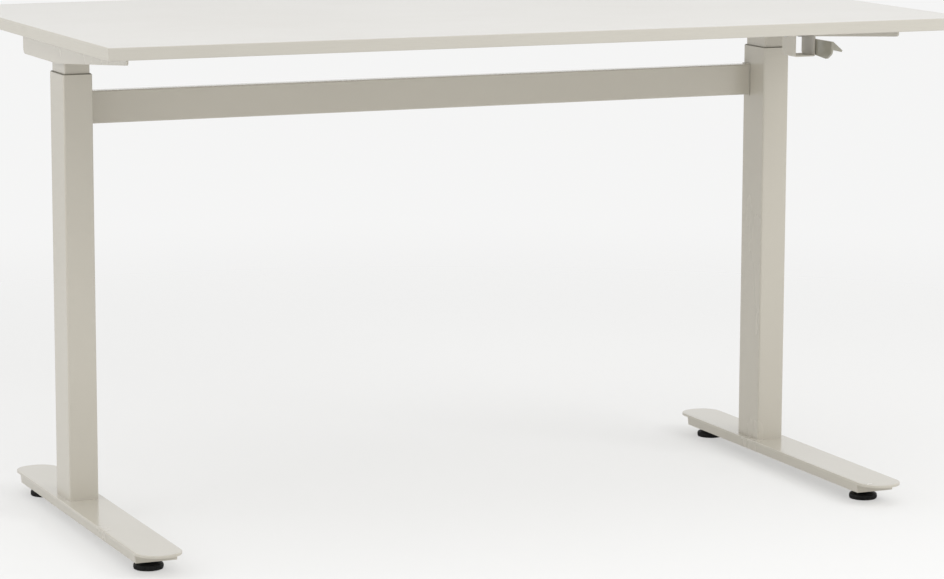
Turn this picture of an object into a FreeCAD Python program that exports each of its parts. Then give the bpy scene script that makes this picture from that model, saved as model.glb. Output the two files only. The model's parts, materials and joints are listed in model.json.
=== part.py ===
import FreeCAD, Part
import math
import os

from FreeCAD import Vector

# Height adjustable standing desk, in millimetres.
# +X runs along the desktop to the user's right, +Y runs away from the user, +Z is up.
# The origin is on the floor, under the middle of the desktop.
# The desk stands at its lowest setting. Everything on the lift group rises by lift_travel.

# ---- desktop ----
top_length = 1400.0
top_depth = 800.0
top_thickness = 18.5
surface_height = 784.0
band_thickness = 2.0
band_edge_radius = 1.2

# ---- feet ----
foot_length = 677.0
foot_width = 70.6
foot_end_flat = 2.3
foot_plate_thickness = 4.0
foot_plate_edge = 1.5
beam_length = 593.0
beam_height = 14.0
beam_side_inset = 2.0
beam_draft = 1.5
beam_wall = 3.0
floor_gap = 18.5

# ---- levelling glides ----
glide_front = 259.0
glide_rear = 274.0
glide_radius = 22.5
glide_height = 12.0
glide_shoulder = 8.0
glide_neck_radius = 13.0
glide_sole_chamfer = 1.0
glide_nut_size = 20.0
stud_radius = 4.0
stud_end_gap = 0.5
stud_seat_depth = 5.0

# ---- outer columns ----
leg_inset = 95.0
leg_setback = 92.0
outer_width = 46.5
outer_depth = 72.0
outer_wall = 2.0
outer_corner = 3.0
column_reveal = 61.5
base_block_height = 24.0
base_bolt_spread_x = 24.0
base_bolt_spread_y = 44.0
base_bolt_radius = 3.0
base_bolt_head_radius = 5.0
base_bolt_head_height = 4.0
base_bolt_engagement = 14.0

# ---- inner columns ----
column_gap_x = 1.0
column_gap_y = 1.4
inner_wall = 2.0
inner_corner = 2.5
foot_clearance = 61.5
column_overlap = 179.0
guide_play = 0.3
collar_depth = 30.0
collar_rim_height = 1.2
collar_rim_inset = 1.2
shoe_sleeve = 20.0
shoe_lip = 10.0
head_block_height = 10.0

# ---- crossbar ----
crossbar_height = 51.0
crossbar_wall = 1.5
crossbar_corner = 2.5
crossbar_bush_gap = 0.75
crossbar_drop = 31.0

# ---- levelling drive: racks, pinions and the shaft in the crossbar ----
gear_module = 1.0
pinion_teeth = 14
gear_addendum = 0.75
gear_dedendum = 1.0
gear_backlash = 0.12
pressure_angle = 20.0
pinion_width = 10.0
pinion_wall_gap = 0.6
pinion_side_gap = 0.5
rack_width = 12.0
rack_back = 6.0
rack_overrun = 12.0
shaft_radius = 4.0
shaft_stub = 1.0
slot_clearance = 1.25
bush_radius = 6.0
bush_length = 12.0
running_fit = 0.05

# ---- gas springs ----
gas_offset_y = -14.0
cylinder_radius = 11.0
cylinder_wall = 1.5
cylinder_cushion = 40.5
cylinder_floor = 3.0
cylinder_stud_radius = 4.0
cylinder_stud_length = 12.0
rod_radius = 4.0
rod_guide_length = 14.0
piston_height = 10.0
piston_rest_gap = 2.5
piston_play = 0.3

# ---- rod yokes and the valve release ----
yoke_height = 12.0
yoke_depth = 36.0
yoke_rear_lead = 2.0
yoke_drop = 22.5
ear_thickness = 3.0
ear_gap = 0.5
ear_radius = 4.5
crank_thickness = 6.0
crank_hub_radius = 3.9
crank_pin_radius = 1.5
crank_rise = 6.0
crank_reach = 13.0
crank_toe = 4.0
crank_tail = 19.0
crank_bar = 4.0
crank_eye_radius = 1.2
crank_eye_inset = 4.0
valve_bore_extra = 6.5
valve_pin_radius = 1.5
valve_pin_length = 18.0
valve_pin_proud = 4.3
valve_gap = 0.3

# ---- side brackets under the desktop ----
bracket_sheet = 3.0
bracket_web_gap = 8.75
bracket_front_inset = 115.0
bracket_rear_inset = 159.0
bracket_heel_depth = 46.5
bracket_toe_depth = 18.5
bracket_taper_start = 60.0
bracket_heel_radius = 10.0
bracket_toe_radius = 5.0
bracket_screw_inset = 22.0
bracket_fold_radius = 2.5
head_screw_spread = 36.0
head_screw_radius = 3.0
head_screw_head_radius = 5.6

# ---- desktop screws ----
screw_radius = 2.25
screw_head_radius = 4.4
screw_head_height = 2.4
screw_bite = 12.0
screw_hole_clearance = 0.35
screw_tip_length = 3.0
screw_point_radius = 0.4
screw_row_shares = (0.0, 0.3, 0.55, 1.0)
housing_screw_shares = (0.2, 0.8)

# ---- release lever ----
housing_leg_gap = 174.5
housing_width = 36.0
housing_front_inset = 79.0
housing_depth = 40.0
housing_height = 40.5
housing_sheet = 2.0
housing_corner = 6.0
housing_fold_radius = 2.5
lever_pivot_back = 29.0
lever_pivot_drop = 8.0
lever_sheet = 3.0
lever_side_gap = 1.0
lever_hub_radius = 6.5
lever_reach = 78.0
lever_top_drop = 14.0
lever_front_depth = 18.5
lever_nose_radius = 10.0
lever_belly_drop = 42.0
lever_heel_drop = 38.0
lever_heel_share = 0.27
lever_belly_share = 0.8
lever_root_front = 2.0
lever_root_back = 3.0
lever_root_drop = 4.0
grip_length = 30.0
grip_width = 16.5
grip_root = 12.5
grip_tip_drop = 14.0
grip_tip = 2.5
grip_tip_lean = 1.5
grip_edge_radius = 0.8
pin_radius = 2.5
pin_head_radius = 4.0
pin_head_height = 1.5
pin_head_gap = 0.5
spring_wire = 0.6
spring_turns = 6
spring_pitch = 1.6
spring_play = 0.5
spring_cheek_gap = 2.0

# ---- heights and faces that follow from the sizes above ----
beam_top = floor_gap + beam_height
foot_top = beam_top + foot_plate_thickness
foot_end_radius = foot_width / 2.0 - foot_end_flat
base_block_top = foot_top + base_block_height
underside = surface_height - top_thickness
column_top = underside - bracket_sheet
outer_top = column_top - column_reveal
inner_bottom = base_block_top + foot_clearance
lift_travel = column_top - inner_bottom - column_reveal - column_overlap
inner_width = outer_width - 2.0 * outer_wall - 2.0 * column_gap_x
inner_depth = outer_depth - 2.0 * outer_wall - 2.0 * column_gap_y
leg_x = top_length / 2.0 - leg_inset
crossbar_top = outer_top - crossbar_drop
shaft_z = crossbar_top - crossbar_height / 2.0
pitch_radius = gear_module * pinion_teeth / 2.0
pinion_outer = pitch_radius + gear_addendum * gear_module
shaft_y = leg_setback + inner_depth / 2.0 - inner_wall - pinion_outer - pinion_wall_gap
inner_face_x = leg_x - inner_width / 2.0 + inner_wall
crossbar_rear = leg_setback + outer_depth / 2.0
crossbar_depth = crossbar_rear - (shaft_y - bush_radius - crossbar_bush_gap - crossbar_wall)
gas_y = leg_setback + gas_offset_y
cylinder_inside = cylinder_floor + piston_rest_gap + piston_height + lift_travel + cylinder_cushion
cylinder_length = cylinder_inside + rod_guide_length
bracket_front = top_depth / 2.0 - bracket_front_inset
bracket_rear = top_depth / 2.0 - bracket_rear_inset
bracket_web_offset = outer_width / 2.0 + bracket_web_gap
housing_left = leg_x - housing_leg_gap
housing_front = -(top_depth / 2.0 - housing_front_inset)
yoke_top = column_top - yoke_drop
lever_pivot_y = housing_front + lever_pivot_back
lever_pivot_z = underside - lever_pivot_drop
glide_places = [(sx, sy) for sx in (-1, 1) for sy in (-1, 1)]
sides = {"left": -1, "right": 1}

# How close an edge must lie to a face to count as lying on it, and how far a cutting tool overshoots.
near = 0.1
over = 1.0


def block(x0, x1, y0, y1, z0, z1):
    return Part.makeBox(x1 - x0, y1 - y0, z1 - z0, Vector(x0, y0, z0))


def rod(radius, start, axis, length):
    return Part.makeCylinder(radius, length, Vector(*start), Vector(*axis))


def fuse(shapes):
    body = shapes[0]
    for extra in shapes[1:]:
        body = body.fuse(extra)
    return body.removeSplitter()


def cut(shape, tools):
    for tool in tools:
        shape = shape.cut(tool)
    return shape


def prism(points, direction):
    corners = [Vector(*p) for p in points]
    return Part.Face(Part.makePolygon(corners + [corners[0]])).extrude(Vector(*direction))


def parallel_edges(shape, axis):
    # Straight edges of a shape that run along the given axis.
    found = []
    for edge in shape.Edges:
        ends = [v.Point for v in edge.Vertexes]
        if len(ends) == 2 and isinstance(edge.Curve, Part.Line):
            run = ends[1].sub(ends[0])
            if abs(run.normalize().dot(Vector(*axis))) > 0.999:
                found.append(edge)
    return found


def rounded_column(width, depth, radius, z0, z1, x, y):
    bar = block(x - width / 2.0, x + width / 2.0, y - depth / 2.0, y + depth / 2.0, z0, z1)
    return bar.makeFillet(radius, parallel_edges(bar, (0, 0, 1)))


def mirrored(shape, side):
    # Everything is drawn on the right leg. The left one is its mirror image.
    if side > 0:
        return shape
    return shape.mirror(Vector(0, 0, 0), Vector(1, 0, 0))


def at_column(width, depth, radius, z0, z1):
    return rounded_column(width, depth, radius, z0, z1, leg_x, leg_setback)


# ---------------------------------------------------------------- desktop

def screw_places():
    # Where the desktop is screwed down: four places along each side bracket.
    span = bracket_front + bracket_rear - 2.0 * bracket_screw_inset
    first = -bracket_front + bracket_screw_inset
    rows = [first + span * share for share in screw_row_shares]
    return [(side * leg_x, y) for side in (-1, 1) for y in rows]


def housing_screw_places():
    x = housing_left + housing_width / 2.0
    return [(x, housing_front + housing_depth * share) for share in housing_screw_shares]


def pilot_holes():
    depth = screw_bite + screw_radius
    spots = screw_places() + housing_screw_places()
    return [rod(screw_radius, (x, y, underside), (0, 0, 1), depth) for x, y in spots]


def desktop_panel():
    half_x = top_length / 2.0 - band_thickness
    half_y = top_depth / 2.0 - band_thickness
    panel = block(-half_x, half_x, -half_y, half_y, underside, surface_height)
    return cut(panel, pilot_holes())


def edge_band():
    # One strip of edging glued round the panel, with its outer arrises eased.
    outer = block(-top_length / 2.0, top_length / 2.0, -top_depth / 2.0, top_depth / 2.0,
                  underside, surface_height)
    outer = outer.makeFillet(band_edge_radius, outer.Edges)
    half_x = top_length / 2.0 - band_thickness
    half_y = top_depth / 2.0 - band_thickness
    return outer.cut(block(-half_x, half_x, -half_y, half_y, underside - over, surface_height + over))


# ---------------------------------------------------------------- feet

def base_bolt_places():
    return [(leg_x + sx * base_bolt_spread_x / 2.0, leg_setback + sy * base_bolt_spread_y / 2.0)
            for sx in (-1, 1) for sy in (-1, 1)]


def base_bolt_holes(low, high):
    return [rod(base_bolt_radius, (x, y, low), (0, 0, 1), high - low) for x, y in base_bolt_places()]


def foot_plate():
    plate = block(leg_x - foot_width / 2.0, leg_x + foot_width / 2.0,
                  -foot_length / 2.0, foot_length / 2.0, beam_top, foot_top)
    plate = plate.makeFillet(foot_end_radius, parallel_edges(plate, (0, 0, 1)))
    rim = [e for e in plate.Edges if e.BoundBox.ZMin > foot_top - near]
    plate = plate.makeFillet(foot_plate_edge, rim)
    return cut(plate, base_bolt_holes(beam_top, foot_top))


def beam_section(half_top, half_low, low, high, y):
    return [(leg_x - half_low, y, low), (leg_x + half_low, y, low),
            (leg_x + half_top, y, high), (leg_x - half_top, y, high)]


def glide_line(sy):
    # The rear glides stand nearer the end of the foot than the front ones.
    return glide_rear if sy > 0 else -glide_front


def foot_beam():
    # A shallow pan of folded steel, open below, with slightly drawn-in sides.
    half_top = foot_width / 2.0 - beam_side_inset
    half_low = half_top - beam_draft
    outline = beam_section(half_top, half_low, floor_gap, beam_top, -beam_length / 2.0)
    shell = prism(outline, (0, beam_length, 0))
    inside = beam_section(half_low - beam_wall, half_low - beam_wall, floor_gap - over,
                          beam_top - beam_wall, -beam_length / 2.0 + beam_wall)
    shell = shell.cut(prism(inside, (0, beam_length - 2.0 * beam_wall, 0)))
    studs = [rod(stud_radius + running_fit, (leg_x, glide_line(sy), floor_gap),
                 (0, 0, 1), beam_height) for sy in (-1, 1)]
    return cut(shell, studs + base_bolt_holes(floor_gap, beam_top))


def glide_nut(sx, sy):
    x = sx * leg_x
    y = glide_line(sy)
    half = glide_nut_size / 2.0
    nut = block(x - half, x + half, y - half, y + half, floor_gap, beam_top - beam_wall)
    thread = rod(stud_radius + running_fit, (x, y, floor_gap - over), (0, 0, 1), beam_height + 2.0 * over)
    return nut.cut(thread)


def glide_pad(sx, sy):
    profile = [(0, 0, 0), (glide_radius - glide_sole_chamfer, 0, 0),
               (glide_radius, 0, glide_sole_chamfer), (glide_radius, 0, glide_shoulder),
               (glide_neck_radius, 0, glide_height), (0, 0, glide_height)]
    corners = [Vector(*p) for p in profile]
    pad = Part.Face(Part.makePolygon(corners + [corners[0]])).revolve(Vector(0, 0, 0), Vector(0, 0, 1), 360)
    seat = rod(stud_radius, (0, 0, glide_height - stud_seat_depth), (0, 0, 1), stud_seat_depth + over)
    pad = pad.cut(seat)
    pad.translate(Vector(sx * leg_x, glide_line(sy), 0))
    return pad


def glide_stud(sx, sy):
    low = glide_height - stud_seat_depth
    high = beam_top - stud_end_gap
    return rod(stud_radius, (sx * leg_x, glide_line(sy), low), (0, 0, 1), high - low)


# ---------------------------------------------------------------- outer columns

def outer_column():
    tube = at_column(outer_width, outer_depth, outer_corner, foot_top, outer_top)
    bore = at_column(outer_width - 2.0 * outer_wall, outer_depth - 2.0 * outer_wall,
                     outer_corner - outer_wall, foot_top - over, outer_top + over)
    wall_x = leg_x - outer_width / 2.0
    bush_hole = rod(bush_radius, (wall_x - over, shaft_y, shaft_z), (1, 0, 0), outer_wall + 2.0 * over)
    return cut(tube, [bore, bush_hole])


def column_base():
    # The threaded block in the foot of the column, which also carries the gas cylinder.
    body = at_column(outer_width - 2.0 * outer_wall, outer_depth - 2.0 * outer_wall,
                     outer_corner - outer_wall, foot_top, base_block_top)
    threads = base_bolt_holes(foot_top, foot_top + base_bolt_engagement)
    socket = rod(cylinder_stud_radius, (leg_x, gas_y, base_block_top - cylinder_stud_length),
                 (0, 0, 1), cylinder_stud_length + over)
    return cut(body, threads + [socket])


def base_bolt(x, y):
    head_top = beam_top - beam_wall
    head = rod(base_bolt_head_radius, (x, y, head_top - base_bolt_head_height), (0, 0, 1),
               base_bolt_head_height)
    shank = rod(base_bolt_radius, (x, y, head_top), (0, 0, 1),
                foot_top + base_bolt_engagement - head_top)
    return fuse([head, shank])


def guide_collar():
    # Plastic sleeve pressed into the mouth of the outer column, with a thin rim on top.
    low = outer_top - collar_depth
    sleeve = at_column(outer_width - 2.0 * outer_wall, outer_depth - 2.0 * outer_wall,
                       outer_corner - outer_wall, low, outer_top)
    rim = at_column(outer_width - 2.0 * collar_rim_inset, outer_depth - 2.0 * collar_rim_inset,
                    outer_corner - collar_rim_inset, outer_top, outer_top + collar_rim_height)
    mouth = at_column(inner_width + 2.0 * guide_play, inner_depth + 2.0 * guide_play,
                      inner_corner + guide_play, low - over, outer_top + collar_rim_height + over)
    return fuse([sleeve, rim]).cut(mouth)


# ---------------------------------------------------------------- crossbar and levelling shaft

def crossbar():
    half = leg_x - outer_width / 2.0
    rear = crossbar_rear
    bar = block(-half, half, rear - crossbar_depth, rear, crossbar_top - crossbar_height, crossbar_top)
    bar = bar.makeFillet(crossbar_corner, parallel_edges(bar, (1, 0, 0)))
    hollow = block(-half - over, half + over, rear - crossbar_depth + crossbar_wall,
                   rear - crossbar_wall, crossbar_top - crossbar_height + crossbar_wall,
                   crossbar_top - crossbar_wall)
    hollow = hollow.makeFillet(crossbar_corner - crossbar_wall, parallel_edges(hollow, (1, 0, 0)))
    return bar.cut(hollow)


def shaft_bush():
    inner_end = leg_x - outer_width / 2.0 + outer_wall
    start = (inner_end - bush_length, shaft_y, shaft_z)
    bore = (inner_end - bush_length - over, shaft_y, shaft_z)
    sleeve = rod(bush_radius, start, (1, 0, 0), bush_length)
    return sleeve.cut(rod(shaft_radius + running_fit, bore, (1, 0, 0), bush_length + 2.0 * over))


def sync_shaft():
    end = inner_face_x + pinion_side_gap + pinion_width + shaft_stub
    return rod(shaft_radius, (-end, shaft_y, shaft_z), (1, 0, 0), 2.0 * end)


def tooth_flank(base, pitch_half_angle, radius):
    # Half angle of a tooth at a radius, on an involute drawn from the base circle.
    if radius <= base:
        roll = 0.0
    else:
        roll = math.sqrt((radius / base) ** 2 - 1.0)
    involute = roll - math.atan(roll)
    pitch_roll = math.tan(math.radians(pressure_angle))
    pitch_involute = pitch_roll - math.radians(pressure_angle)
    return pitch_half_angle + pitch_involute - involute


def pinion():
    base = pitch_radius * math.cos(math.radians(pressure_angle))
    root = pitch_radius - gear_dedendum * gear_module
    half_thickness = math.pi * gear_module / 4.0 - gear_backlash / 2.0
    pitch_half_angle = half_thickness / pitch_radius
    steps = 4
    radii = [root] + [base + (pinion_outer - base) * i / steps for i in range(steps + 1)]
    corners = []
    for tooth in range(pinion_teeth):
        # A tooth points at the rack, which lies on the user's side of the shaft.
        centre = math.pi + 2.0 * math.pi * tooth / pinion_teeth
        rising = [(r, centre - tooth_flank(base, pitch_half_angle, r)) for r in radii]
        falling = [(r, centre + tooth_flank(base, pitch_half_angle, r)) for r in reversed(radii)]
        corners += rising + falling
    x = inner_face_x + pinion_side_gap
    points = [(x, shaft_y + r * math.cos(a), shaft_z + r * math.sin(a)) for r, a in corners]
    gear = prism(points, (pinion_width, 0, 0))
    return gear.cut(rod(shaft_radius, (x - over, shaft_y, shaft_z), (1, 0, 0), pinion_width + 2.0 * over))


def rack():
    # Straight toothed bar inside the inner column. A gap between teeth faces the pinion.
    pitch = math.pi * gear_module
    tip_y = shaft_y - pitch_radius + gear_addendum * gear_module
    root_y = shaft_y - pitch_radius - gear_dedendum * gear_module
    slope = math.tan(math.radians(pressure_angle))
    half_pitch = pitch / 4.0 - gear_backlash / 2.0
    half_tip = half_pitch - gear_addendum * gear_module * slope
    half_root = half_pitch + gear_dedendum * gear_module * slope
    low = shaft_z - lift_travel - rack_overrun
    high = shaft_z + rack_overrun
    count = int((lift_travel + 2.0 * rack_overrun) / pitch)
    below = int((lift_travel + rack_overrun) / pitch)
    points = [(inner_face_x, root_y - rack_back, high), (inner_face_x, root_y - rack_back, low),
              (inner_face_x, root_y, low)]
    for tooth in range(count - 1):
        centre = shaft_z + (tooth - below + 0.5) * pitch
        if centre - half_root > low and centre + half_root < high:
            points += [(inner_face_x, root_y, centre - half_root), (inner_face_x, tip_y, centre - half_tip),
                       (inner_face_x, tip_y, centre + half_tip), (inner_face_x, root_y, centre + half_root)]
    points.append((inner_face_x, root_y, high))
    return prism(points, (rack_width, 0, 0))


# ---------------------------------------------------------------- inner columns

def inner_column():
    tube = at_column(inner_width, inner_depth, inner_corner, inner_bottom, column_top)
    bore = at_column(inner_width - 2.0 * inner_wall, inner_depth - 2.0 * inner_wall,
                     inner_corner - inner_wall, inner_bottom - over, column_top + over)
    # The shaft of the levelling drive runs in this slot as the column rises.
    reach = shaft_radius + slot_clearance
    wall_x = leg_x - inner_width / 2.0
    low = shaft_z - lift_travel
    slot = block(wall_x - over, wall_x + inner_wall + over, shaft_y - reach, shaft_y + reach, low, shaft_z)
    ends = [rod(reach, (wall_x - over, shaft_y, z), (1, 0, 0), inner_wall + 2.0 * over)
            for z in (low, shaft_z)]
    return cut(tube, [bore, slot] + ends)


def glide_shoe():
    # Plastic shoe on the lower end of the inner column, which runs inside the outer one.
    low = inner_bottom - shoe_lip
    body = at_column(outer_width - 2.0 * outer_wall - 2.0 * guide_play,
                     outer_depth - 2.0 * outer_wall - 2.0 * guide_play,
                     outer_corner - guide_play, low, inner_bottom + shoe_sleeve)
    socket = at_column(inner_width, inner_depth, inner_corner, inner_bottom,
                       inner_bottom + shoe_sleeve + over)
    window = at_column(inner_width - 2.0 * inner_wall, inner_depth - 2.0 * inner_wall,
                       inner_corner - inner_wall, low - over, inner_bottom + over)
    return cut(body, [socket, window])


def head_screw_places():
    return [(leg_x, leg_setback + sy * head_screw_spread / 2.0) for sy in (-1, 1)]


def column_head():
    body = at_column(inner_width - 2.0 * inner_wall, inner_depth - 2.0 * inner_wall,
                     inner_corner - inner_wall, column_top - head_block_height, column_top)
    threads = [rod(head_screw_radius, (x, y, column_top - head_block_height - over), (0, 0, 1),
                   head_block_height + 2.0 * over) for x, y in head_screw_places()]
    return cut(body, threads)


# ---------------------------------------------------------------- gas springs

def gas_cylinder():
    tube = rod(cylinder_radius, (leg_x, gas_y, base_block_top), (0, 0, 1), cylinder_length)
    bore = rod(cylinder_radius - cylinder_wall, (leg_x, gas_y, base_block_top + cylinder_floor),
               (0, 0, 1), cylinder_length)
    stud = rod(cylinder_stud_radius, (leg_x, gas_y, base_block_top - cylinder_stud_length),
               (0, 0, 1), cylinder_stud_length)
    return fuse([tube, stud]).cut(bore)


def rod_guide():
    low = base_block_top + cylinder_length - rod_guide_length
    ring = rod(cylinder_radius - cylinder_wall, (leg_x, gas_y, low), (0, 0, 1), rod_guide_length)
    return ring.cut(rod(rod_radius + running_fit, (leg_x, gas_y, low - over), (0, 0, 1),
                        rod_guide_length + 2.0 * over))


def piston_low():
    return base_block_top + cylinder_floor + piston_rest_gap


def gas_piston():
    low = piston_low()
    ring = rod(cylinder_radius - cylinder_wall - piston_play, (leg_x, gas_y, low), (0, 0, 1), piston_height)
    return ring.cut(rod(rod_radius, (leg_x, gas_y, low - over), (0, 0, 1), piston_height + 2.0 * over))


def gas_rod():
    low = piston_low()
    bar = rod(rod_radius, (leg_x, gas_y, low), (0, 0, 1), yoke_top - low)
    depth = valve_pin_length - valve_pin_proud + valve_bore_extra
    return bar.cut(rod(valve_pin_radius + running_fit, (leg_x, gas_y, yoke_top - depth), (0, 0, 1), depth))


# ---------------------------------------------------------------- yokes and valve release

def crank_pivot():
    return (gas_y + crank_reach, yoke_top + crank_rise)


def rod_yoke():
    half_x = inner_width / 2.0 - inner_wall
    front = gas_y - yoke_depth / 2.0 + yoke_rear_lead
    body = block(leg_x - half_x, leg_x + half_x, front, front + yoke_depth, yoke_top - yoke_height, yoke_top)
    pivot_y, pivot_z = crank_pivot()
    ears = []
    for side in (-1, 1):
        inner = crank_thickness / 2.0 + ear_gap
        x0 = leg_x + inner if side > 0 else leg_x - inner - ear_thickness
        post = block(x0, x0 + ear_thickness, pivot_y - ear_radius, pivot_y + ear_radius, yoke_top, pivot_z)
        crown = rod(ear_radius, (x0, pivot_y, pivot_z), (1, 0, 0), ear_thickness)
        ears += [post, crown]
    body = fuse([body] + ears)
    rod_hole = rod(rod_radius, (leg_x, gas_y, yoke_top - yoke_height - over), (0, 0, 1),
                   yoke_height + 2.0 * over)
    span = crank_thickness + 2.0 * (ear_gap + ear_thickness)
    pin_hole = rod(crank_pin_radius, (leg_x - span / 2.0 - over, pivot_y, pivot_z), (1, 0, 0),
                   span + 2.0 * over)
    return cut(body, [rod_hole, pin_hole])


def crank_pin():
    pivot_y, pivot_z = crank_pivot()
    span = crank_thickness + 2.0 * (ear_gap + ear_thickness)
    return rod(crank_pin_radius, (leg_x - span / 2.0, pivot_y, pivot_z), (1, 0, 0), span)


def release_crank():
    # Bell crank: its toe lies over the valve pin, its tail takes the pull of the release.
    pivot_y, pivot_z = crank_pivot()
    x0 = leg_x - crank_thickness / 2.0
    x1 = leg_x + crank_thickness / 2.0
    low = yoke_top + valve_pin_proud + valve_gap
    hub = rod(crank_hub_radius, (x0, pivot_y, pivot_z), (1, 0, 0), crank_thickness)
    bar = block(x0, x1, gas_y - crank_toe, pivot_y + crank_tail, low, low + crank_bar)
    body = fuse([hub, bar])
    bore = rod(crank_pin_radius + running_fit, (x0 - over, pivot_y, pivot_z), (1, 0, 0),
               crank_thickness + 2.0 * over)
    eye = rod(crank_eye_radius, (leg_x, pivot_y + crank_tail - crank_eye_inset, low - over),
              (0, 0, 1), crank_bar + 2.0 * over)
    return cut(body, [bore, eye])


def valve_pin():
    high = yoke_top + valve_pin_proud
    return rod(valve_pin_radius, (leg_x, gas_y, high - valve_pin_length), (0, 0, 1), valve_pin_length)


# ---------------------------------------------------------------- side brackets

def bracket_web_outline():
    heel = underside - bracket_heel_depth
    toe = underside - bracket_toe_depth
    return [(-bracket_front, underside), (-bracket_front, toe), (bracket_taper_start, heel),
            (bracket_rear, heel), (bracket_rear, underside)]


def top_bracket():
    # Folded steel: a wide flange under the desktop and a tapered web outside the leg.
    outer_x = leg_x + bracket_web_offset
    flange_x = leg_x - inner_width / 2.0
    points = [(outer_x - bracket_sheet, y, z) for y, z in bracket_web_outline()]
    web = prism(points, (bracket_sheet, 0, 0))
    heel = [e for e in parallel_edges(web, (1, 0, 0))
            if e.CenterOfMass.y > bracket_rear - near and e.CenterOfMass.z < column_top]
    web = web.makeFillet(bracket_heel_radius, heel)
    toe = [e for e in parallel_edges(web, (1, 0, 0))
           if e.CenterOfMass.y < -bracket_front + near and e.CenterOfMass.z < column_top]
    web = web.makeFillet(bracket_toe_radius, toe)
    flange = block(flange_x, outer_x, -bracket_front, bracket_rear, column_top, underside)
    body = fuse([flange, web])
    fold = [e for e in parallel_edges(body, (0, 1, 0))
            if e.CenterOfMass.x > outer_x - near and e.CenterOfMass.z > underside - near]
    body = body.makeFillet(bracket_fold_radius, fold)
    holes = [rod(screw_radius + screw_hole_clearance, (x, y, column_top - over), (0, 0, 1),
                 bracket_sheet + 2.0 * over) for x, y in screw_places() if x > 0]
    sinks = [head_screw_blank(x, y) for x, y in head_screw_places()]
    return cut(body, holes + sinks)


def head_screw_blank(x, y):
    cone = Part.makeCone(head_screw_radius, head_screw_head_radius, bracket_sheet,
                         Vector(x, y, column_top), Vector(0, 0, 1))
    shank = rod(head_screw_radius, (x, y, column_top - head_block_height), (0, 0, 1), head_block_height)
    return fuse([cone, shank])


def desktop_screw(x, y, seat):
    # Pan-head screw driven up into the panel, its head against the sheet below.
    head = rod(screw_head_radius, (x, y, seat - screw_head_height), (0, 0, 1), screw_head_height)
    crown = [e for e in head.Edges if e.Closed and e.BoundBox.ZMax < seat - near]
    head = head.makeFillet(screw_head_height / 2.0, crown)
    straight = underside + screw_bite - screw_tip_length - seat
    shank = rod(screw_radius, (x, y, seat), (0, 0, 1), straight)
    tip = Part.makeCone(screw_radius, screw_point_radius, screw_tip_length,
                        Vector(x, y, seat + straight), Vector(0, 0, 1))
    return fuse([head, shank, tip])


# ---------------------------------------------------------------- release lever

def lever_housing():
    # A folded loop of sheet under the desktop: top plate, two cheeks and a floor.
    x0 = housing_left
    x1 = housing_left + housing_width
    y0 = housing_front
    y1 = housing_front + housing_depth
    z0 = underside - housing_height
    outer = block(x0, x1, y0, y1, z0, underside)
    low = [e for e in parallel_edges(outer, (0, 1, 0)) if e.CenterOfMass.z < z0 + near]
    outer = outer.makeFillet(housing_fold_radius, low)
    inner = block(x0 + housing_sheet, x1 - housing_sheet, y0 - over, y1 + over,
                  z0 + housing_sheet, underside - housing_sheet)
    loop = outer.cut(inner)
    # The lower rear corner of the loop is rounded off across its whole width.
    corner_block = block(x0 - over, x1 + over, y1 - housing_corner, y1 + over, z0 - over, z0 + housing_corner)
    corner_disc = rod(housing_corner, (x0 - 2.0 * over, y1 - housing_corner, z0 + housing_corner),
                      (1, 0, 0), housing_width + 4.0 * over)
    loop = loop.cut(corner_block.cut(corner_disc))
    pin_hole = rod(pin_radius, (x0 - over, lever_pivot_y, lever_pivot_z), (1, 0, 0),
                   housing_width + 2.0 * over)
    screws = [rod(screw_radius + screw_hole_clearance, (x, y, underside - housing_sheet - over), (0, 0, 1),
                  housing_sheet + 2.0 * over) for x, y in housing_screw_places()]
    return cut(loop, [pin_hole] + screws)


def lever_pin():
    x0 = housing_left
    x1 = housing_left + housing_width + lever_side_gap + lever_sheet + pin_head_gap
    shank = rod(pin_radius, (x0, lever_pivot_y, lever_pivot_z), (1, 0, 0), x1 - x0)
    heads = [rod(pin_head_radius, (x, lever_pivot_y, lever_pivot_z), (1, 0, 0), pin_head_height)
             for x in (x0 - pin_head_height, x1)]
    return fuse([shank] + heads)


def lever_spring():
    # Return spring: a close coil round the pin, between the cheeks of the housing.
    length = spring_turns * spring_pitch
    radius = pin_radius + spring_play + spring_wire
    helix = Part.makeHelix(spring_pitch, length, radius)
    start = Vector(radius, 0, 0)
    circle = Part.Wire(Part.makeCircle(spring_wire, start, Vector(0, 1, 0)))
    coil = Part.Wire(helix).makePipeShell([circle], True, True)
    coil.rotate(Vector(0, 0, 0), Vector(0, 1, 0), 90)
    coil.translate(Vector(housing_left + housing_width - housing_sheet - length - spring_cheek_gap,
                          lever_pivot_y, lever_pivot_z))
    return coil


def lever_x():
    return housing_left + housing_width + lever_side_gap


def lever_arm():
    x = lever_x()
    top = underside - lever_top_drop
    front = lever_pivot_y - lever_reach
    belly = underside - lever_belly_drop
    heel = underside - lever_heel_drop
    heel_y = lever_pivot_y - lever_reach * lever_heel_share
    belly_y = lever_pivot_y - lever_reach * lever_belly_share
    points = [(x, lever_pivot_y - lever_root_front, top), (x, front, top),
              (x, front, top - lever_front_depth),
              (x, belly_y, belly), (x, heel_y, heel),
              (x, lever_pivot_y + lever_root_back, lever_pivot_z - lever_root_drop)]
    plate = prism(points, (lever_sheet, 0, 0))
    nose = [e for e in parallel_edges(plate, (1, 0, 0))
            if e.CenterOfMass.y < belly_y + near and e.CenterOfMass.z < top - near]
    plate = plate.makeFillet(lever_nose_radius, nose)
    hub = rod(lever_hub_radius, (x, lever_pivot_y, lever_pivot_z), (1, 0, 0), lever_sheet)
    body = fuse([plate, hub])
    return body.cut(rod(pin_radius + running_fit, (x - over, lever_pivot_y, lever_pivot_z), (1, 0, 0),
                        lever_sheet + 2.0 * over))


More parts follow.
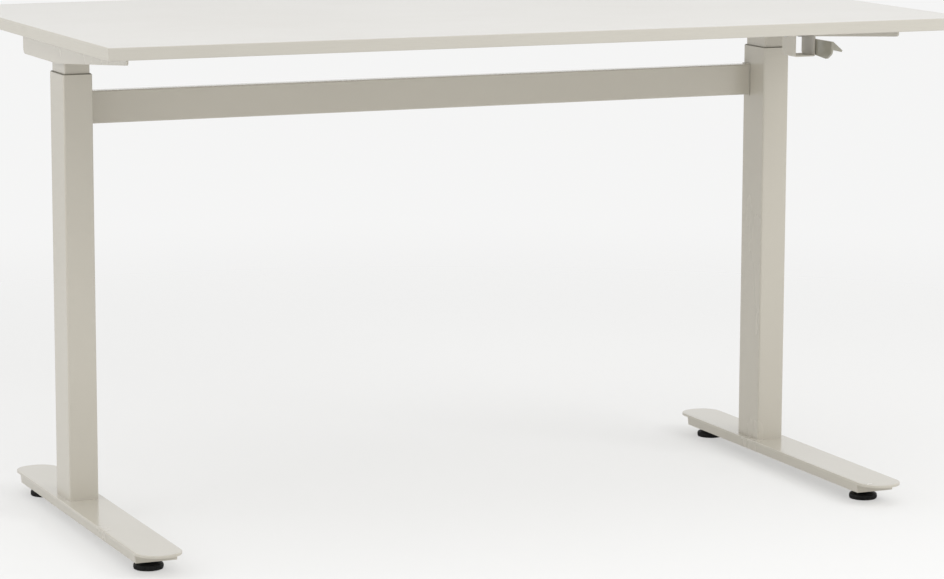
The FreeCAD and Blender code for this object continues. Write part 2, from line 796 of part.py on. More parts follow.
def lever_grip():
    # Finger grip: a wing that thins and falls away from the arm.
    x = lever_x() + lever_sheet
    top = underside - lever_top_drop
    front = lever_pivot_y - lever_reach
    points = [(x, front, top), (x + grip_width, front, top - grip_tip_drop),
              (x + grip_width - grip_tip_lean, front, top - grip_tip_drop - grip_tip),
              (x, front, top - grip_root)]
    wing = prism(points, (0, grip_length, 0))
    tip = [e for e in parallel_edges(wing, (0, 1, 0)) if e.CenterOfMass.x > x + near]
    return wing.makeFillet(grip_edge_radius, tip)


# ---------------------------------------------------------------- everything, node by node

def group(shapes):
    return Part.makeCompound(shapes)


def paired_nodes():
    return {
        "foot_plate": foot_plate(),
        "foot_beam": foot_beam(),
        "outer_column": outer_column(),
        "column_base": column_base(),
        "guide_collar": guide_collar(),
        "shaft_bush": shaft_bush(),
        "gas_cylinder": gas_cylinder(),
        "rod_guide": rod_guide(),
        "inner_column": inner_column(),
        "column_head": column_head(),
        "glide_shoe": glide_shoe(),
        "sync_rack": rack(),
        "sync_pinion": pinion(),
        "gas_rod": gas_rod(),
        "gas_piston": gas_piston(),
        "rod_yoke": rod_yoke(),
        "top_bracket": top_bracket(),
    }


def single_nodes():
    housing_seat = underside - housing_sheet
    screws = [desktop_screw(x, y, column_top) for x, y in screw_places()]
    screws += [desktop_screw(x, y, housing_seat) for x, y in housing_screw_places()]
    bolts = [base_bolt(x, y) for x, y in base_bolt_places()]
    heads = [head_screw_blank(x, y) for x, y in head_screw_places()]
    return {
        "desktop_panel": desktop_panel(),
        "edge_band": edge_band(),
        "desktop_screws": group(screws),
        "column_bolts": group([mirrored(b, s) for s in (-1, 1) for b in bolts]),
        "head_screws": group([mirrored(h, s) for s in (-1, 1) for h in heads]),
        "glide_nuts": group([glide_nut(sx, sy) for sx, sy in glide_places]),
        "crossbar": crossbar(),
        "sync_shaft": sync_shaft(),
        "lever_housing": lever_housing(),
        "lever_pin": lever_pin(),
        "lever_spring": lever_spring(),
        "lever_arm": lever_arm(),
        "lever_grip": lever_grip(),
        "crank_pin": crank_pin(),
        "release_crank": release_crank(),
        "valve_pin": valve_pin(),
    }


def glide_nodes():
    names = {(-1, -1): "front_left", (-1, 1): "rear_left", (1, -1): "front_right", (1, 1): "rear_right"}
    nodes = {}
    for place in glide_places:
        nodes["glide_pad_" + names[place]] = glide_pad(*place)
        nodes["glide_stud_" + names[place]] = glide_stud(*place)
    return nodes


def main():
    os.makedirs("parts", exist_ok=True)
    nodes = single_nodes()
    nodes.update(glide_nodes())
    for name, shape in paired_nodes().items():
        for side_name, side in sides.items():
            nodes[name + "_" + side_name] = mirrored(shape, side)
    for name, shape in nodes.items():
        shape.exportStep("parts/" + name + ".step")
        print(name, "solids", len(shape.Solids), "volume", round(shape.Volume), "valid", shape.isValid())
    print(len(nodes), "nodes")


main()
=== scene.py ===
import json
import math

import bmesh
import bpy
from mathutils import Matrix, Vector


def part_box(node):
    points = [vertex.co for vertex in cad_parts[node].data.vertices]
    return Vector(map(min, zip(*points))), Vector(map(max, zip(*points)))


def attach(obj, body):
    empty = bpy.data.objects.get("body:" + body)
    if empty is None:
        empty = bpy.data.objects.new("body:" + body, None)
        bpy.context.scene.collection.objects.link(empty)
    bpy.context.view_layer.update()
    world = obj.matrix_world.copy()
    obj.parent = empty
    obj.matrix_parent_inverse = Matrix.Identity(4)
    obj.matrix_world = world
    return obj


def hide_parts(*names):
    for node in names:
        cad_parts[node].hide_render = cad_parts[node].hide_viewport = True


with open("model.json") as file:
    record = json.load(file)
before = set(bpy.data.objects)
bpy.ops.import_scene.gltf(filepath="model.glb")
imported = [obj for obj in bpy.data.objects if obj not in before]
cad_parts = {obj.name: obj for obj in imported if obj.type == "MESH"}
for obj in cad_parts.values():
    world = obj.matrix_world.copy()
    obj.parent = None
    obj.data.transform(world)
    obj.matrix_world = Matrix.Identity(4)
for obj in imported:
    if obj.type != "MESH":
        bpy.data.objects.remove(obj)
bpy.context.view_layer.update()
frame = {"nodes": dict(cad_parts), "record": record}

nodes = frame["nodes"]
record = frame["record"]
slotOf = {part["node"]: part["material_slot"] for part in record["subparts"]}
bodyOf = {name: body for body, members in record["behaviour"]["bodies"].items() for name in members}
mm = 0.001


# camera, lamps and floor

cameraSetup = {
    "place": (-2.1431, -4.9684, 1.2267),
    "turn": 23.576,  # degrees to the right of straight ahead
    "tilt": 9.311,  # degrees below the horizon
    "roll": 0.171,
    "lens": 130.84,
}

lampSetup = {
    # name: (place, aim, width, height, watts)
    "overhead": ((-0.3, -0.6, 3.2), (0.0, 0.0, 0.7), 3.2, 2.4, 16.0),
    "leftWall": ((-2.3, -0.1, 1.1), (-0.6, 0.1, 0.35), 1.6, 1.6, 8.0),
    "frontRight": ((1.9, -2.6, 2.3), (0.6, 0.0, 0.35), 1.8, 1.6, 34.0),
}

# the front right lamp would burn out the top from behind if gloss mirrored it
mirroredLamps = ("overhead", "leftWall")

stageSetup = {
    "backdrop": (0.915, 0.915, 0.912),  # what the camera and glossy paint see around the desk
    "skyLight": 0.70,  # even light from everywhere
    "skyTint": (1.0, 0.995, 0.985),
    "floorColour": (0.90, 0.90, 0.895),
    "floorSeen": (0.995, 0.995, 0.992),  # the floor as the camera sees it; the desk is lit by floorColour
    "floorSize": 14.0,
    "shadowEase": 0.48,  # share of the backdrop that shows through the floor, which softens its shadows
    "fadeFrom": 1.5,  # metres from the middle, where the floor starts to melt into the backdrop
    "fadeTo": 3.2,
}


def makeCamera():
    data = bpy.data.cameras.new("deskCamera")
    data.lens = cameraSetup["lens"]
    data.clip_start = 0.05
    camera = bpy.data.objects.new("deskCamera", data)
    camera.location = cameraSetup["place"]
    tilt = math.radians(90.0 - cameraSetup["tilt"])
    camera.rotation_euler = (tilt, -math.radians(cameraSetup["roll"]), -math.radians(cameraSetup["turn"]))
    bpy.context.scene.collection.objects.link(camera)
    bpy.context.scene.camera = camera


def makeLamps():
    for name, (place, aim, width, height, watts) in lampSetup.items():
        data = bpy.data.lights.new(name, "AREA")
        data.shape = "RECTANGLE"
        data.size = width
        data.size_y = height
        data.energy = watts
        lamp = bpy.data.objects.new(name, data)
        lamp.location = place
        lamp.rotation_euler = (Vector(aim) - Vector(place)).to_track_quat("-Z", "Y").to_euler()
        lamp.visible_camera = False
        lamp.visible_glossy = name in mirroredLamps
        bpy.context.scene.collection.objects.link(lamp)


makeCamera()
makeLamps()
bpy.context.scene.view_settings.view_transform = "Standard"
print("camera and lamps placed")


# node building

class Wire:
    # one output socket, so that sums of sockets can be written as plain sums
    def __init__(self, net, socket):
        self.net = net
        self.socket = socket

    def calc(self, operation, *values):
        return self.net.add("ShaderNodeMath", {"operation": operation}, dict(enumerate(values)))

    def __add__(self, other):
        return self.calc("ADD", self, other)

    def __radd__(self, other):
        return self.calc("ADD", other, self)

    def __sub__(self, other):
        return self.calc("SUBTRACT", self, other)

    def __rsub__(self, other):
        return self.calc("SUBTRACT", other, self)

    def __mul__(self, other):
        return self.calc("MULTIPLY", self, other)

    def __rmul__(self, other):
        return self.calc("MULTIPLY", other, self)

    def __pow__(self, other):
        return self.calc("POWER", self, other)


class Net:
    # adds nodes to one material, world or geometry tree
    def __init__(self, tree):
        self.tree = tree

    def add(self, kind, settings=None, values=None, output=0):
        node = self.tree.nodes.new(kind)
        for name, setting in (settings or {}).items():
            if name == "stops":
                while len(node.color_ramp.elements) < len(setting):
                    node.color_ramp.elements.new(0.5)
                for element, (position, colour) in zip(node.color_ramp.elements, setting):
                    element.position = position
                    element.color = (*colour, 1.0)
            else:
                setattr(node, name, setting)
        for key, value in (values or {}).items():
            if isinstance(value, Wire):
                self.tree.links.new(value.socket, node.inputs[key])
            else:
                node.inputs[key].default_value = value
        return Wire(self, node.outputs[output] if len(node.outputs) else None)

    def mixed(self, factor, low, high):
        # blends two colours
        low, high = [c if isinstance(c, Wire) else (*c, 1.0) for c in (low, high)]
        return self.add("ShaderNodeMix", {"data_type": "RGBA"}, {0: factor, 6: low, 7: high}, 2)

    def spread(self, value, low, high, to=(0.0, 1.0)):
        # value between low and high becomes 0 to 1, or another range, with a soft start and end
        return self.add("ShaderNodeMapRange", {"interpolation_type": "SMOOTHSTEP"},
                        {"Value": value, "From Min": low, "From Max": high, "To Min": to[0],
                         "To Max": to[1]})


class Finish(Net):
    # a surface finish on one Principled shader
    def __init__(self, name):
        self.material = bpy.data.materials.new(name)
        self.material.use_nodes = True
        super().__init__(self.material.node_tree)
        self.tree.nodes.clear()
        self.place = self.add("ShaderNodeTexCoord", output="Object")

    def noise(self, scale, detail=2.0, stretch=None, rough=0.5):
        vector = self.place
        if stretch:
            vector = self.add("ShaderNodeMapping", None, {"Vector": self.place, "Scale": stretch})
        return self.add("ShaderNodeTexNoise", None,
                        {"Vector": vector, "Scale": scale, "Detail": detail, "Roughness": rough})

    def edges(self, width, strength):
        # 1 on arrises and corners, 0 on flats
        rounded = self.add("ShaderNodeBevel", {"samples": 6}, {"Radius": width}, "Normal")
        flat = self.add("ShaderNodeNewGeometry", output="Normal")
        same = self.add("ShaderNodeVectorMath", {"operation": "DOT_PRODUCT"}, {0: rounded, 1: flat},
                        "Value")
        return self.spread(1.0 - same, 0.0, 1.0 / strength)

    def relief(self, height, distance, softEdge=None, strength=1.0):
        values = {"Height": height, "Distance": distance, "Strength": strength}
        if softEdge:
            values["Normal"] = self.add("ShaderNodeBevel", {"samples": 6}, {"Radius": softEdge}, "Normal")
        return self.add("ShaderNodeBump", None, values, "Normal")

    def done(self, colour, roughness, normal, metallic=0.0, **steady):
        values = {"Base Color": colour, "Roughness": roughness, "Metallic": metallic, "Normal": normal}
        values.update(steady)
        shader = self.add("ShaderNodeBsdfPrincipled", None, values)
        self.add("ShaderNodeOutputMaterial", None, {"Surface": shader})
        return self.material


# finishes

paintSetup = {
    "colour": (0.600, 0.567, 0.492),
    "deepColour": (0.570, 0.537, 0.462),
    # lighter tone on the arrises: partly wear, partly a painted edge highlight
    "wearAndHighlightColour": (0.680, 0.655, 0.592),
    "peelScale": 620.0,  # orange peel, per metre
    "peelDepth": 0.000010,
    "edgeWearAndHighlight": 0.0009,
    "wearAndHighlight": 0.12,
    "wearAndHighlightScale": 26.0,
    "cloudScale": 3.2,
    "speckScale": 2600.0,
    "roughness": (0.20, 0.27),
    "coat": 0.6,
    "coatRoughness": 0.07,
}


def warmPaint(name, setup):
    f = Finish(name)
    cloud = f.noise(setup["cloudScale"], 3.0)
    peel = f.noise(setup["peelScale"], 1.5)
    speck = f.noise(setup["speckScale"], 1.0)
    # lighter patches on the arrises: partly wear, partly a painted edge highlight
    wornAndHighlit = f.edges(setup["edgeWearAndHighlight"], 2.2) * f.spread(f.noise(setup["wearAndHighlightScale"], 4.0), 0.38, 0.66)
    settle = f.spread(f.noise(9.0, 5.0, (1.0, 1.0, 0.35)), 0.45, 0.75)  # faint film of dust and handling
    colour = f.mixed(f.spread(cloud, 0.3, 0.7) * 0.55 + f.spread(speck, 0.55, 0.75) * 0.25,
                     setup["colour"], setup["deepColour"])
    colour = f.mixed(wornAndHighlit * setup["wearAndHighlight"], colour, setup["wearAndHighlightColour"])
    low, high = setup["roughness"]
    roughness = f.spread(cloud, 0.3, 0.7, (low, high)) + settle * 0.05 + wornAndHighlit * 0.06
    normal = f.relief(peel + speck * 0.25, setup["peelDepth"])
    return f.done(colour, roughness, normal, **{"Coat Weight": setup["coat"],
                                                "Coat Roughness": setup["coatRoughness"]})


laminateSetup = {
    "colour": (0.745, 0.733, 0.703),
    "shade": (0.722, 0.709, 0.677),
    "fleck": (0.770, 0.762, 0.738),
    "grainScale": 1500.0,
    "grainDepth": 0.000018,
    "roughness": (0.34, 0.45),
}


def deskLaminate():
    setup = laminateSetup
    f = Finish("desk laminate")
    cloud = f.noise(2.1, 4.0)
    grain = f.noise(setup["grainScale"], 2.0)
    fibre = f.noise(240.0, 3.0, (0.12, 1.0, 1.0))
    wiped = f.spread(f.noise(5.0, 6.0, (0.4, 1.0, 1.0)), 0.40, 0.72)  # where a cloth has passed
    colour = f.mixed(f.spread(cloud, 0.28, 0.72) * 0.6, setup["colour"], setup["shade"])
    colour = f.mixed(f.spread(fibre, 0.52, 0.72) * 0.35, colour, setup["fleck"])
    colour = f.mixed(f.edges(0.0010, 2.0) * 0.3, colour, setup["fleck"])
    roughness = f.spread(cloud, 0.3, 0.7, setup["roughness"]) - wiped * 0.05 + f.spread(grain, 0.4,
                                                                                        0.6) * 0.03
    normal = f.relief(grain + fibre * 0.4, setup["grainDepth"])
    return f.done(colour, roughness, normal)


bandSetup = {
    "colour": (0.630, 0.605, 0.540),
    "shade": (0.595, 0.568, 0.505),
    "rub": (0.690, 0.668, 0.605),
    "streakScale": 900.0,
    "streakDepth": 0.000016,
}


def edgeTape():
    setup = bandSetup
    f = Finish("edge tape")
    streak = f.noise(setup["streakScale"], 2.0, (0.03, 0.03, 1.0))  # drawn marks run along the strip
    cloud = f.noise(7.0, 3.0)
    rub = f.edges(0.0012, 2.0)
    colour = f.mixed(f.spread(streak, 0.35, 0.7) * 0.45 + f.spread(cloud, 0.3, 0.7) * 0.3,
                     setup["colour"], setup["shade"])
    colour = f.mixed(rub * 0.5, colour, setup["rub"])
    roughness = 0.38 + f.spread(cloud, 0.3, 0.7) * 0.08 + f.spread(streak, 0.4, 0.6) * 0.04
    normal = f.relief(streak, setup["streakDepth"], 0.0006)
    return f.done(colour, roughness, normal)


def metalFinish(name, setup):
    # bare or plated metal: drawn or turned marks, stain in patches, bright arrises
    f = Finish(name)
    marks = f.noise(setup["markScale"], 3.0, setup["markStretch"])
    stain = f.spread(f.noise(setup["stainScale"], 5.0), 0.42, 0.7)
    bright = f.edges(setup["edge"], 2.5)
    colour = f.mixed(stain * setup["stainAmount"], setup["colour"], setup["stainColour"])
    colour = f.mixed(bright * 0.6, colour, setup["brightColour"])
    low, high = setup["roughness"]
    roughness = f.spread(marks, 0.3, 0.7, (low, high)) + stain * 0.10 - bright * 0.06
    normal = f.relief(marks, setup["markDepth"], setup["edge"])
    return f.done(colour, roughness, normal, setup["metal"])


metalSetup = {
    "zinc_steel": {
        "colour": (0.62, 0.63, 0.64), "stainColour": (0.50, 0.49, 0.45), "brightColour": (0.80, 0.81, 0.83),
        "markScale": 700.0, "markStretch": (1.0, 1.0, 0.3), "stainScale": 90.0, "stainAmount": 0.5,
        "edge": 0.0004, "roughness": (0.26, 0.42), "markDepth": 0.000012, "metal": 1.0,
    },
    "spring_steel": {
        "colour": (0.42, 0.41, 0.40), "stainColour": (0.25, 0.22, 0.19), "brightColour": (0.66, 0.66, 0.66),
        "markScale": 900.0, "markStretch": (0.2, 1.0, 1.0), "stainScale": 220.0, "stainAmount": 0.5,
        "edge": 0.0002, "roughness": (0.24, 0.38), "markDepth": 0.000008, "metal": 1.0,
    },
    "chromed_rod": {
        "colour": (0.72, 0.72, 0.73), "stainColour": (0.60, 0.60, 0.60), "brightColour": (0.90, 0.90, 0.90),
        "markScale": 1400.0, "markStretch": (1.0, 1.0, 0.02), "stainScale": 30.0, "stainAmount": 0.25,
        "edge": 0.0003, "roughness": (0.05, 0.12), "markDepth": 0.000003, "metal": 1.0,
    },
    "black_cylinder": {
        "colour": (0.022, 0.022, 0.023), "stainColour": (0.040, 0.038, 0.035), "brightColour": (0.12,
                                                                                                0.12, 0.12),
        "markScale": 500.0, "markStretch": (1.0, 1.0, 0.4), "stainScale": 40.0, "stainAmount": 0.6,
        "edge": 0.0005, "roughness": (0.30, 0.42), "markDepth": 0.000015, "metal": 0.0,
    },
    "bush_brass": {
        "colour": (0.66, 0.47, 0.20), "stainColour": (0.38, 0.24, 0.09), "brightColour": (0.86, 0.68, 0.36),
        "markScale": 900.0, "markStretch": (1.0, 1.0, 1.0), "stainScale": 180.0, "stainAmount": 0.6,
        "edge": 0.0004, "roughness": (0.28, 0.42), "markDepth": 0.000010, "metal": 1.0,
    },
}


def mouldedPlastic(name, setup):
    # spark-eroded mould texture, paler where it has been rubbed or has picked up dust
    f = Finish(name)
    grain = f.noise(setup["grainScale"], 2.0)
    cloud = f.noise(35.0, 4.0)
    rub = f.edges(0.0006, 2.2) * f.spread(cloud, 0.35, 0.65)
    dust = f.spread(f.noise(60.0, 6.0), 0.52, 0.8)
    colour = f.mixed(f.spread(grain, 0.4, 0.7) * 0.5, setup["colour"], setup["shade"])
    colour = f.mixed(rub * 0.6 + dust * setup["dust"], colour, setup["rub"])
    low, high = setup["roughness"]
    roughness = f.spread(grain, 0.35, 0.65, (low, high)) + dust * 0.08 - rub * 0.05
    normal = f.relief(grain, setup["grainDepth"], 0.0004)
    return f.done(colour, roughness, normal, **{"Specular IOR Level": setup["shine"]})


plasticSetup = {
    "guide_plastic": {
        "colour": (0.20, 0.19, 0.150), "shade": (0.17, 0.162, 0.125), "rub": (0.30, 0.29, 0.24),
        "grainScale": 900.0, "grainDepth": 0.00002, "roughness": (0.38, 0.52), "dust": 0.2, "shine": 0.5,
    },
    "glide_plastic": {
        "colour": (0.006, 0.006, 0.006), "shade": (0.010, 0.010, 0.009), "rub": (0.040, 0.038, 0.035),
        "grainScale": 1100.0, "grainDepth": 0.00003, "roughness": (0.45, 0.60), "dust": 0.12, "shine": 0.25,
    },
}

# the lever paint is the frame paint darkened: painted shade, standing in for the shade under the desktop
leverPaintedShadeSetup = {
    "colour": (0.350, 0.335, 0.275),
    "deepColour": (0.325, 0.310, 0.252),
    "wearAndHighlightColour": (0.450, 0.435, 0.375),
    "peelDepth": 0.000014,
}

finishes = {
    "desktop_laminate": deskLaminate(),
    "edge_band": edgeTape(),
    "frame_paint": warmPaint("warm frame paint", paintSetup),
    # darker copy of the frame paint: painted shade on the lever
    "lever_paint": warmPaint("lever paint", dict(paintSetup, **leverPaintedShadeSetup)),
}
for slotName, setup in metalSetup.items():
    finishes[slotName] = metalFinish(slotName.replace("_", " "), setup)
for slotName, setup in plasticSetup.items():
    finishes[slotName] = mouldedPlastic(slotName.replace("_", " "), setup)


def dressNodes():
    for name, node in nodes.items():
        finish = finishes[slotOf[name]]
        if not node.material_slots:
            node.data.materials.append(finish)
        for slot in node.material_slots:
            slot.material = finish


dressNodes()
print("finishes made:", len(finishes))


# building pieces

def linked(mesh, name):
    piece = bpy.data.objects.new(name, mesh)
    bpy.context.scene.collection.objects.link(piece)
    return piece


def cadSolids(node):
    # lowest and highest corner of each solid in a node that holds several, left to right
    bm = bmesh.new()
    bm.from_mesh(nodes[node].data)
    bmesh.ops.remove_doubles(bm, verts=bm.verts, dist=1e-6)
    seen = set()
    found = []
    for start in bm.verts:
        if start.index in seen:
            continue
        seen.add(start.index)
        island = [start]
        for vert in island:
            for edge in vert.link_edges:
                other = edge.other_vert(vert)
                if other.index not in seen:
                    seen.add(other.index)
                    island.append(other)
        low = Vector([min(v.co[i] for v in island) for i in range(3)])
        high = Vector([max(v.co[i] for v in island) for i in range(3)])
        found.append((low, high))
    bm.free()
    return sorted(found, key=lambda box: (round(box[0].x, 4), round(box[0].y, 4)))


def turnedMesh(name, rings, steps):
    # closed turned shape: each ring is (height, radius), and a radius may be a function of the angle
    bm = bmesh.new()
    loops = []
    for height, radius in rings:
        loop = []
        for i in range(steps):
            angle = 2.0 * math.pi * i / steps
            r = radius(angle) if callable(radius) else radius
            loop.append(bm.verts.new((r * math.cos(angle), r * math.sin(angle), height)))
        loops.append(loop)
    for low, high in zip(loops, loops[1:]):
        for i in range(steps):
            j = (i + 1) % steps
            bm.faces.new((low[i], low[j], high[j], high[i]))
    for loop, height in ((loops[0], rings[0][0]), (loops[-1], rings[-1][0])):
        pole = bm.verts.new((0.0, 0.0, height))
        for i in range(steps):
            bm.faces.new((loop[i], loop[(i + 1) % steps], pole))
    bmesh.ops.recalc_face_normals(bm, faces=bm.faces)
    mesh = bpy.data.meshes.new(name)
    bm.to_mesh(mesh)
    bm.free()
    shadeSmooth(mesh)
    return mesh


def shadeSmooth(mesh, angle=math.radians(38.0)):
    mesh.polygons.foreach_set("use_smooth", [True] * len(mesh.polygons))
    mesh.set_sharp_from_angle(angle=angle)


def crossDrive(size):
    # four-lobed recess for a cross-head driver
    return lambda angle: size * (0.36 + 0.64 * abs(math.cos(2.0 * angle)) ** 5)


def hexDrive(size):
    # six-sided recess, size across its flats
    third = math.pi / 3.0
    return lambda angle: size / 2.0 / math.cos((angle % third) - third / 2.0)


class Growth(Net):
    # a geometry node tree with named inputs, which ends in real geometry with its material set
    kinds = {float: "NodeSocketFloat", int: "NodeSocketInt", tuple: "NodeSocketVector",
             bpy.types.Object: "NodeSocketObject", bpy.types.Material: "NodeSocketMaterial"}

    def __init__(self, name, inputs):
        super().__init__(bpy.data.node_groups.new(name, "GeometryNodeTree"))
        face = self.tree.interface
        face.new_socket("Geometry", in_out="INPUT", socket_type="NodeSocketGeometry")
        self.inputs = dict(inputs)
        self.names = {}
        for label, value in inputs.items():
            kind = next(socket for k, socket in self.kinds.items() if isinstance(value, k))
            self.names[label] = face.new_socket(label, in_out="INPUT", socket_type=kind).identifier
        face.new_socket("Geometry", in_out="OUTPUT", socket_type="NodeSocketGeometry")
        self.enter = self.tree.nodes.new("NodeGroupInput")

    def given(self, label):
        return Wire(self, self.enter.outputs[label])

    def ends(self, geometry, smooth=True):
        real = self.add("GeometryNodeRealizeInstances", None, {"Geometry": geometry})
        if smooth:
            real = self.add("GeometryNodeSetShadeSmooth", None, {"Geometry": real})
        done = self.add("GeometryNodeSetMaterial", None, {"Geometry": real,
                                                          "Material": self.given("Material")})
        leave = self.tree.nodes.new("NodeGroupOutput")
        self.tree.links.new(done.socket, leave.inputs[0])

    def grow(self, name, seedMesh, **values):
        # runs the tree on a mesh and keeps the result as a plain mesh
        host = linked(seedMesh, name + "Host")
        modifier = host.modifiers.new("growth", "NODES")
        modifier.node_group = self.tree
        for label, value in {**self.inputs, **values}.items():
            modifier[self.names[label]] = value
        host.update_tag()
        shown = host.evaluated_get(bpy.context.evaluated_depsgraph_get())
        mesh = bpy.data.meshes.new_from_object(shown)
        mesh.name = name
        bpy.data.objects.remove(host)
        return mesh


def pointMesh(name, points, edges=()):
    mesh = bpy.data.meshes.new(name)
    mesh.from_pydata([tuple(p) for p in points], list(edges), [])
    return mesh


# screws and bolts

screwSetup = {
    "headRise": 2.4 * mm, "shankRadius": 2.25 * mm, "tipLength": 3.0 * mm, "threadDepth": 0.35 * mm,
    "driveSize": 2.5 * mm, "driveDepth": 1.5 * mm, "steps": 32,
}

boltSetup = {
    "headRise": 4.0 * mm, "shankRadius": 3.0 * mm, "socketFlats": 5.0 * mm, "socketDepth": 2.6 * mm,
    "steps": 36,
}


def fastenerTree():
    # puts one fastener at every point, each turned by its own amount
    blank = finishes["zinc_steel"]
    g = Growth("fastenerRow", {"Fastener": bpy.context.scene.camera, "Turn Seed": 3, "Material": blank})
    shape = g.add("GeometryNodeObjectInfo", {"transform_space": "ORIGINAL"},
                  {"Object": g.given("Fastener")}, "Geometry")
    turn = g.add("FunctionNodeRandomValue", {"data_type": "FLOAT"},
                 {2: 0.0, 3: 2.0 * math.pi, "Seed": g.given("Turn Seed")}, 1)
    rotation = g.add("ShaderNodeCombineXYZ", None, {"Z": turn})
    placed = g.add("GeometryNodeInstanceOnPoints", None,
                   {"Points": g.given("Geometry"), "Instance": shape, "Rotation": rotation})
    g.ends(placed, False)
    return g


def screwMesh(length, headRadius):
    # countertop screw, head down: domed head with a cross recess, coarse thread, point
    s = screwSetup
    drive = crossDrive(s["driveSize"])
    small = crossDrive(s["driveSize"] * 0.6)
    rise = s["headRise"]
    shank = s["shankRadius"]
    core = shank - s["threadDepth"]
    rings = [(s["driveDepth"], small), (0.12 * mm, drive), (0.0, lambda a: drive(a) + 0.15 * mm),
             (0.0, headRadius * 0.62), (rise * 0.14, headRadius * 0.82), (rise * 0.40, headRadius * 0.95),
             (rise * 0.72, headRadius), (rise, headRadius), (rise, core)]
    height = rise
    while height + 1.6 * mm < length - s["tipLength"]:
        rings += [(height + 0.6 * mm, core), (height + 1.0 * mm, shank), (height + 1.2 * mm, shank)]
        height += 1.6 * mm
    rings += [(length - s["tipLength"], core), (length - 0.2 * mm, 0.5 * mm), (length, 0.2 * mm)]
    return turnedMesh("screwShape", rings, s["steps"])


def boltMesh(length, headRadius):
    # socket bolt, head down, with a six-sided recess and rolled edge
    s = boltSetup
    drive = hexDrive(s["socketFlats"])
    rise = s["headRise"]
    shank = s["shankRadius"]
    rings = [(s["socketDepth"], drive), (0.25 * mm, drive), (0.0, lambda a: drive(a) + 0.25 * mm),
             (0.0, headRadius - 0.5 * mm), (0.15 * mm, headRadius - 0.15 * mm), (0.5 * mm, headRadius),
             (rise - 0.2 * mm, headRadius), (rise, headRadius - 0.2 * mm), (rise, shank)]
    rings += [(length - 0.6 * mm, shank), (length, shank - 0.6 * mm)]
    return turnedMesh("boltShape", rings, s["steps"])


def placeFasteners(tree, node, maker, name, seed):
    solids = cadSolids(node)
    low, high = solids[0]
    headRadius = (high.x - low.x) / 2.0
    shape = linked(maker(high.z - low.z, headRadius), name + "Shape")
    middles = [((l.x + h.x) / 2.0, (l.y + h.y) / 2.0, l.z) for l, h in solids]
    mesh = tree.grow(name, pointMesh(name + "Points", middles),
                     **{"Fastener": shape, "Turn Seed": seed, "Material": finishes[slotOf[node]]})
    bpy.data.objects.remove(shape)
    piece = linked(mesh, name)
    finishPiece(piece, [node])


def finishPiece(piece, replaced):
    # the piece rides with, and takes the finish of, the first node that it stands for
    first = replaced[0]
    if not piece.data.materials:
        piece.data.materials.append(finishes[slotOf[first]])
    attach(piece, bodyOf[first])
    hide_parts(*replaced)


fasteners = fastenerTree()
placeFasteners(fasteners, "desktop_screws", screwMesh, "desktopScrews", 5)
placeFasteners(fasteners, "column_bolts", boltMesh, "columnBolts", 11)
print("screws and bolts placed")


# levelling glides

glideSetup = {
    "steps": 72, "ribCount": 40, "ribRadius": 0.45 * mm, "ribLow": 2.2 * mm, "ribHigh": 6.6 * mm,
    "seatRadius": 4.2 * mm, "seatDepth": 5.0 * mm, "neckRadius": 12.6 * mm,
}

threadSetup = {"pitch": 1.25 * mm, "depth": 0.62 * mm, "wireSteps": 20}


def ribTree():
    # upright ribs round a turned body
    g = Growth("ribbedRim", {"Rib Count": glideSetup["ribCount"], "Rim Radius": 0.022,
                             "Rib Radius": glideSetup["ribRadius"], "Rib Height": 0.004,
                             "Rib Middle": 0.004,
                             "Material": finishes["glide_plastic"]})
    ring = g.add("GeometryNodeMeshCircle", None,
                 {"Vertices": g.given("Rib Count"), "Radius": g.given("Rim Radius")})
    rib = g.add("GeometryNodeMeshCylinder", None,
                {"Vertices": 8, "Radius": g.given("Rib Radius"), "Depth": g.given("Rib Height")})
    ribs = g.add("GeometryNodeInstanceOnPoints", None, {"Points": ring, "Instance": rib})
    lift = g.add("ShaderNodeCombineXYZ", None, {"Z": g.given("Rib Middle")})
    ribs = g.add("GeometryNodeTransform", None, {"Geometry": ribs, "Translation": lift})
    both = g.tree.nodes.new("GeometryNodeJoinGeometry")
    g.tree.links.new(ribs.socket, both.inputs[0])
    g.tree.links.new(g.given("Geometry").socket, both.inputs[0])
    g.ends(Wire(g, both.outputs[0]), False)
    return g


def threadTree():
    # a wire wound round a core, for threads and coils
    g = Growth("woundWire", {"Wound Radius": 0.004, "Wire Radius": 0.0005, "Turns": 5.0,
                             "Wound Length": 0.01,
                             "Wire Steps": 20, "Material": finishes["zinc_steel"]})
    steps = g.given("Wire Steps")
    coil = g.add("GeometryNodeCurveSpiral", None,
                 {"Resolution": steps, "Rotations": g.given("Turns"),
                  "Start Radius": g.given("Wound Radius"),
                  "End Radius": g.given("Wound Radius"), "Height": g.given("Wound Length")})
    section = g.add("GeometryNodeCurvePrimitiveCircle", None, {"Resolution": 6,
                                                               "Radius": g.given("Wire Radius")})
    wire = g.add("GeometryNodeCurveToMesh", None, {"Curve": coil, "Profile Curve": section,
                                                   "Fill Caps": True})
    both = g.tree.nodes.new("GeometryNodeJoinGeometry")
    g.tree.links.new(wire.socket, both.inputs[0])
    g.tree.links.new(g.given("Geometry").socket, both.inputs[0])
    g.ends(Wire(g, both.outputs[0]), False)
    return g


